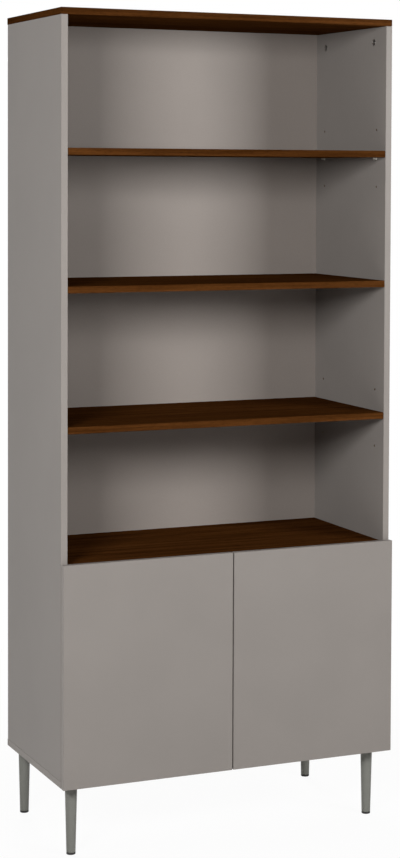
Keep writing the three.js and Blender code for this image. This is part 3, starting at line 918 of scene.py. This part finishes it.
def add_hex_screw(place):
    """The flat head of a case screw that looks down, with its hexagonal socket."""
    radius = CASE_SCREW_HEAD / 2 - SEAM
    head = add_turned("screw", (
        (radius - CAM_EDGE, 0), (radius, CAM_EDGE), (radius, CASE_SCREW_SINK / 2),
        (CASE_SCREW_CORE / 2, CASE_SCREW_SINK)), (0, 0, 0), sides=32)
    socket = add_rod("socket", HEX_SOCKET / 2, (0, 0, -OVERRUN), (0, 0, CASE_SCREW_SINK / 2), 6)
    return set_in_place(cut(head, [socket]), place)


def add_cross_screw(place, axis, head=SCREW_HEAD):
    """The domed head of a cross-head screw, seated at a place and looking along an axis."""
    radius, height, rim = head / 2, SCREW_DOME, SCREW_DOME * SCREW_RIM
    dome = [(radius * math.cos(a), rim + (height - rim) * math.sin(a)) for a in quarter_turn(6)[:-1]]
    screw = add_turned("screw", ((radius, 0), *dome, (radius / 8, height)), (0, 0, 0), sides=32)
    cut_cross(screw, radius * SLOT_LENGTH, radius * SLOT_WIDTH, rim, height + OVERRUN)
    return set_in_place(screw, place, axis)


# Hinges: pieces of the lower left hinge, which the other three repeat
def moved(place, offset):
    """The X and Y of a place, moved."""
    return (place[0] + offset[0], place[1] + offset[1])


def pivot(name):
    """Where a joint's axis stands, in X and Y."""
    joint = next(j for j in frame["joints"] if j["name"] == name)
    return joint["pos_m"][0], joint["pos_m"][1]


def round_corner(centre, radius, start, end, steps=8):
    """Points of an arc, from one angle to another."""
    for step in range(steps + 1):
        angle = start + (end - start) * step / steps
        yield (centre[0] + radius * math.cos(angle), centre[1] + radius * math.sin(angle))


def hinge_cup(z):
    """The pressed cup, its flange and the two screws that hold it in the door."""
    low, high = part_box("left_lower_hinge_cup")
    middle = (low + high) / 2
    door_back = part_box("left_door")[1].y
    outer, edge = (high.x - low.x) / 2, CUP_EDGE
    inner, deep = outer - CUP_WALL, high.y - low.y
    cup = add_turned("cup", (
        (outer - 2 * edge, 0), (outer - edge / 2, edge / 2), (outer, 2 * edge), (outer, deep - edge / 2),
        (outer - edge / 2, deep), (inner + edge / 3, deep), (inner, deep - edge / 2),
        (inner, CUP_WALL + 3 * edge), (inner - edge, CUP_WALL + edge), (inner - 3 * edge, CUP_WALL),
    ), (middle.x, low.y, z), "Y", sides=64)
    thick = high.y - door_back - SEAM
    flange = add_tile("flange", FLANGE_WIDTH, high.z - low.z, thick, FLANGE_CORNER,
                      (middle.x, high.y, z), (math.radians(90), 0, 0))
    cut(flange, [add_rod("well", inner, (middle.x, low.y, z), (middle.x, high.y + OVERRUN, z), 64)])
    bevel_sharp(flange, CUP_EDGE / 5, 2)
    join("cup", [cup, flange])
    screws = [add_cross_screw((middle.x, high.y, level), "Y")
              for level in (z - FLANGE_HOLES / 2, z + FLANGE_HOLES / 2)]
    return smooth(cup), join("cup_screws", screws)


def outer_link(z):
    """Two bent cheeks between the arm's pin and the cup's pin."""
    arm, cup = pivot("left_outer_links_swing"), pivot("left_door_hinge")
    reach_arm, reach_cup = moved(arm, OUTER_BEND_AT_ARM), moved(cup, OUTER_BEND_AT_CUP)
    parts = []
    for low, high in ((z - CHEEK_END, z - CHEEK_START), (z + CHEEK_START, z + CHEEK_END)):
        cheek = add_ribbon("cheek", arm, reach_arm, reach_cup, cup, low, high, LINK_THICKNESS)
        parts += [bevel_sharp(cheek, LINK_EDGE, 2, 50),
                  add_eye(arm, LINK_EYE, low, high), add_eye(cup, LINK_TIP, low, high)]
    parts.append(add_pivot_pin(arm, z, ARM_HALF + PIN_HEAD))
    parts.append(add_pivot_pin(cup, z, CHEEK_END + PIN_HEAD / 4))
    return smooth(join("outer_link", parts))


def inner_link(z):
    """One bent plate between the cheeks."""
    arm, cup = pivot("left_inner_links_swing"), moved(pivot("left_door_hinge"), INNER_END)
    reach_arm, reach_cup = moved(arm, INNER_BEND_AT_ARM), moved(cup, INNER_BEND_AT_CUP)
    low, high = z - INNER_LINK_HALF, z + INNER_LINK_HALF
    plate = add_ribbon("plate", arm, reach_arm, reach_cup, cup, low, high, LINK_THICKNESS)
    parts = [bevel_sharp(plate, LINK_EDGE, 2, 50),
             add_eye(arm, LINK_EYE, low, high), add_eye(cup, LINK_TIP, low, high)]
    parts.append(add_pivot_pin(arm, z, ARM_HALF + PIN_HEAD))
    return smooth(join("inner_link", parts))


def add_eye(place, radius, low, high):
    eye = add_rod("eye", radius, (*place, low), (*place, high), 28)
    return bevel_sharp(eye, LINK_EDGE, 2, 50)


def add_pivot_pin(place, z, half):
    pin = add_rod("pin", PIVOT_PIN / 2, (*place, z - half), (*place, z + half), 24)
    return bevel_sharp(pin, LINK_EDGE, 2, 50)


def hinge_arm(z):
    """The channel-shaped arm, its round nose and its two screws."""
    low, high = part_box("left_lower_hinge_arm")
    outer, inner = pivot("left_outer_links_swing"), pivot("left_inner_links_swing")
    nose, wall = ARM_NOSE, ARM_WALL
    roof, foot, rear = low.x + ARM_ROOF, low.x + ARM_FOOT, high.y
    slope = math.atan2(inner[1] - outer[1], inner[0] - outer[0])
    turn = slope - math.pi / 2 + 2 * math.pi
    outline = [(roof, rear), (foot, rear), (foot, outer[1] + nose)]
    outline += round_corner(outer, nose, math.pi, turn)
    outline += round_corner(inner, nose, turn, 2 * math.pi)
    outline += [(inner[0] + nose, outer[1]), (roof, outer[1] + ARM_RISE)]
    arm = add_outline("arm", outline, z - ARM_HALF, z + ARM_HALF)
    hollow = ARM_HALF - wall
    front, right = inner[1] - nose - OVERRUN, inner[0] + nose
    floor = inner[1] + LINK_EYE + PIN_HEAD
    cavity = [(low.x - OVERRUN, rear + OVERRUN), (low.x - OVERRUN, front), (right + OVERRUN, front),
              (right + OVERRUN, floor), (right - wall, floor), (right - wall, outer[1]),
              (roof - wall, outer[1] + ARM_RISE), (roof - wall, rear + OVERRUN)]
    cut(arm, [add_outline("cavity", cavity, z - hollow, z + hollow)])
    bevel_sharp(arm, LINK_EDGE, 2, 40)
    screws = [add_cross_screw((roof, y, z), "X") for y in (rear - ARM_FIX, rear - ARM_ADJUST)]
    return smooth(arm), screws


def hinge_plate(z):
    """The cross-shaped plate screwed to the side, and the rib that the arm slides on."""
    low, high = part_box("left_lower_hinge_plate")
    thick = PLATE_THICKNESS
    upright = (0, math.radians(90), 0)
    middle = (low.y + high.y) / 2
    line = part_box("left_lower_hinge_arm")[1].y - ARM_FIX
    body = add_tile("body", PLATE_BODY, high.y - low.y, thick, PLATE_CORNER, (low.x, middle, z), upright)
    wing = add_tile("wing", high.z - low.z, PLATE_WING, thick, PLATE_CORNER, (low.x, line, z), upright)
    cut(body, [wing], "UNION")
    bevel_sharp(body, LINK_EDGE, 2)
    rib_half = ARM_HALF - ARM_WALL - PIN_HEAD
    rib = add_box("rib", (low.x + thick - SEAM, low.y + PLATE_CORNER, z - rib_half),
                  (high.x, high.y - PLATE_CORNER, z + rib_half))
    bevel_sharp(rib, LINK_EDGE, 2)
    plate = join("plate", [body, rib])
    screws = [add_cross_screw((low.x + thick, line, level), "X")
              for level in (z - PLATE_HOLES / 2, z + PLATE_HOLES / 2)]
    return smooth(plate), screws


class BOOKCASE_OT_hinges(bpy.types.Operator):
    """Makes the four concealed hinges: cups, links, arms, plates and their screws"""
    bl_idname = "bookcase.hinges"
    bl_label = "Hinges"

    def execute(self, context):
        z = centre_of("left_lower_hinge_cup").z
        cup, cup_screws = hinge_cup(z)
        arm, arm_screws = hinge_arm(z)
        plate, plate_screws = hinge_plate(z)
        patterns = {
            "cup": (cup, "door", True),
            "cup_screws": (cup_screws, "door", False),
            "outer_link": (outer_link(z), "outer_links", True),
            "inner_link": (inner_link(z), "inner_links", True),
            "arm": (arm, None, True),
            "plate": (plate, None, True),
            "screws": (join("screws", arm_screws + plate_screws), None, False),
        }
        for side, place in product(SIDES, HINGE_PLACES):
            rise = (0, 0, centre_of(f"{side}_{place}_hinge_cup").z - z)
            for part, (pattern, body, stands_for_node) in patterns.items():
                node = f"{side}_{place}_hinge_{part}"
                dress(copy_of(pattern, f"{node}_body", rise, side == "right"),
                      f"{side}_{body}" if body else "case",
                      node if stands_for_node else None, "steel")
        discard(*(pattern for pattern, _, _ in patterns.values()))
        return {"FINISHED"}


class BOOKCASE_OT_latches(bpy.types.Operator):
    """Makes the two push latches under the cabinet top"""
    bl_idname = "bookcase.latches"
    bl_label = "Push latches"

    def execute(self, context):
        low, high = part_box("left_latch_housing")
        tip_low, tip_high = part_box("left_latch_plunger")
        middle, axis = (low.x + high.x) / 2, (tip_low.z + tip_high.z) / 2
        body = add_tile("housing", LATCH_BODY, high.z - low.z, high.y - low.y, LATCH_CORNER,
                        (middle, high.y, (low.z + high.z) / 2), (math.radians(90), 0, 0))
        line, seat = low.y + LATCH_FLANGE_SETBACK + LATCH_FLANGE / 2, high.z - LATCH_FLANGE_THICKNESS
        flange = add_tile("flange", high.x - low.x, LATCH_FLANGE, LATCH_FLANGE_THICKNESS, LATCH_CORNER,
                          (middle, line, seat))
        cut(body, [flange], "UNION")
        radius = (tip_high.x - tip_low.x) / 2
        cut(body, [add_rod("bore", radius + SEAM, (middle, low.y - OVERRUN, axis),
                           (middle, tip_high.y + OVERRUN, axis), 40)])
        smooth(bevel_sharp(body, LINK_EDGE, 2, 50))
        profile = (*rounded_end(radius, LATCH_TIP, 5), (radius, tip_high.y - tip_low.y))
        plunger = add_turned("plunger", profile, (middle, tip_low.y, axis), "Y")
        aside = (high.x - low.x + LATCH_BODY) / 4
        screws = join("screws", [
            add_cross_screw((x, line, seat), "-Z", LATCH_SCREW_HEAD)
            for x in (middle - aside, middle + aside)])
        for side in SIDES:
            latch, flip = f"{side}_latch", side == "right"
            dress(copy_of(body, f"{latch}_housing_body", mirror=flip), "case",
                  f"{latch}_housing", "plastic")
            dress(copy_of(screws, f"{latch}_screws", mirror=flip), "case", None, "steel")
            dress(copy_of(plunger, f"{latch}_plunger_body", mirror=flip), f"{side}_plunger",
                  f"{latch}_plunger", "nylon")
        discard(body, screws, plunger)
        return {"FINISHED"}


class BOOKCASE_OT_stage(bpy.types.Operator):
    """Sets up the camera, the lamps, the white room and the floor"""
    bl_idname = "bookcase.stage"
    bl_label = "Stage"

    def execute(self, context):
        stage = context.scene.bookcase_stage
        add_camera(stage)
        for name, lamp in LAMPS.items():
            add_softbox(stage, name, *lamp)
        add_room(stage)
        add_floor(stage)
        context.scene.view_settings.view_transform = "Standard"
        return {"FINISHED"}


def add_camera(stage):
    """The camera, which would face along Y if its three angles were zero."""
    deselect()
    bpy.ops.object.camera_add()
    camera = bpy.context.object
    camera.name = "camera"
    camera.matrix_world = (
        Matrix.Translation(stage.place) @ Matrix.Rotation(-stage.turn, 4, "Z")
        @ Matrix.Rotation(math.radians(90) + stage.tilt, 4, "X") @ Matrix.Rotation(stage.roll, 4, "Z"))
    long_side = max(PICTURE_WIDTH, PICTURE_HEIGHT)
    camera.data.lens = FOCAL_PIXELS * camera.data.sensor_width / long_side
    camera.data.shift_x = (PICTURE_WIDTH / 2 - FACING_PIXEL[0]) / long_side
    camera.data.shift_y = (FACING_PIXEL[1] - PICTURE_HEIGHT / 2) / long_side
    bpy.context.scene.camera = camera


def add_softbox(stage, name, size, place, target):
    deselect()
    facing = (Vector(target) - Vector(place)).to_track_quat("-Z", "Y")
    bpy.ops.object.light_add(type="AREA", location=place, rotation=facing.to_euler())
    lamp = bpy.context.object
    lamp.name = f"{name}_softbox"
    lamp.data.shape = "RECTANGLE"
    lamp.data.size, lamp.data.size_y = size
    lamp.data.energy = getattr(stage, f"{name}_power")


def seen_directly(tree):
    """1 for rays of the camera and of mirrors and glass, 0 for the rays that carry light."""
    total = tree.add("ShaderNodeLightPath", "Is Camera Ray")
    rays = total.node.outputs
    for kind in ("Is Glossy Ray", "Is Transmission Ray"):
        total = tree.add("ShaderNodeMath", "Value", {0: total, 1: rays[kind]}, operation="MAXIMUM")
    return total


def add_room(stage):
    world = bpy.data.worlds.new("white_room")
    bpy.context.scene.world = world
    tree = Tree(world)
    light = tree.nodes["Background"]
    tree.fill(light, {"Color": (*stage.room_tone, 1), "Strength": stage.room})
    white = tree.add("ShaderNodeBackground", "Background", {"Color": WHITE, "Strength": 1})
    mix = tree.add("ShaderNodeMixShader", "Shader", {
        "Fac": seen_directly(tree), 1: light.outputs[0], 2: white})
    tree.fill(tree.nodes["World Output"], {"Surface": mix})


def add_floor(stage):
    deselect()
    bpy.ops.mesh.primitive_plane_add(size=stage.floor_size)
    floor = finished("floor")
    recipe = Recipe("pale_floor", FLOOR_ROUGHNESS)
    recipe.fill(recipe.shader, {"Base Color": (*stage.floor_tone, 1)})
    distance = recipe.add("ShaderNodeVectorMath", "Value", {0: recipe.place}, operation="LENGTH")
    whiter = recipe.spread(distance, FLOOR_WHITENESS, 1, FLOOR_SHADE_REACH, "SMOOTHSTEP")
    share = recipe.add("ShaderNodeMath", "Value", {0: seen_directly(recipe), 1: whiter},
                       operation="MULTIPLY")
    white = recipe.add("ShaderNodeEmission", "Emission", {"Color": WHITE, "Strength": 1})
    mix = recipe.add("ShaderNodeMixShader", "Shader", {
        "Fac": share, 1: recipe.shader.outputs[0], 2: white})
    recipe.fill(recipe.nodes["Material Output"], {"Surface": mix})
    floor.data.materials.append(recipe.material)


class BOOKCASE_PT_panel(bpy.types.Panel):
    """Sizes, finishes and pieces of the bookcase"""
    bl_idname = "BOOKCASE_PT_panel"
    bl_label = "Bookcase"
    bl_space_type = "VIEW_3D"
    bl_region_type = "UI"
    bl_category = "Bookcase"

    def draw(self, context):
        for group, kind in GROUPS.items():
            box = self.layout.box()
            for name in kind.__annotations__:
                box.prop(getattr(context.scene, group), name)
        for operator in OPERATORS:
            self.layout.operator(operator.bl_idname)


GROUPS = {
    "bookcase_sizes": BookcaseSizes,
    "bookcase_finishes": BookcaseFinishes,
    "bookcase_stage": BookcaseStage,
}
OPERATORS = (
    BOOKCASE_OT_grey_boards,
    BOOKCASE_OT_walnut_boards,
    BOOKCASE_OT_doors,
    BOOKCASE_OT_legs,
    BOOKCASE_OT_shelf_pins,
    BOOKCASE_OT_cam_locks,
    BOOKCASE_OT_hinges,
    BOOKCASE_OT_latches,
    BOOKCASE_OT_stage,
)


def register():
    for cls in (*GROUPS.values(), *OPERATORS, BOOKCASE_PT_panel):
        bpy.utils.register_class(cls)
    for name, cls in GROUPS.items():
        setattr(bpy.types.Scene, name, PointerProperty(type=cls))


def unregister():
    for name in GROUPS:
        delattr(bpy.types.Scene, name)
    for cls in (BOOKCASE_PT_panel, *reversed(OPERATORS), *reversed(GROUPS.values())):
        bpy.utils.unregister_class(cls)


def main():
    register()
    bpy.ops.bookcase.grey_boards()
    bpy.ops.bookcase.walnut_boards()
    bpy.ops.bookcase.doors()
    bpy.ops.bookcase.legs()
    bpy.ops.bookcase.shelf_pins()
    bpy.ops.bookcase.cam_locks()
    bpy.ops.bookcase.hinges()
    bpy.ops.bookcase.latches()
    bpy.ops.bookcase.stage()


if __name__ == "__main__":
    main()
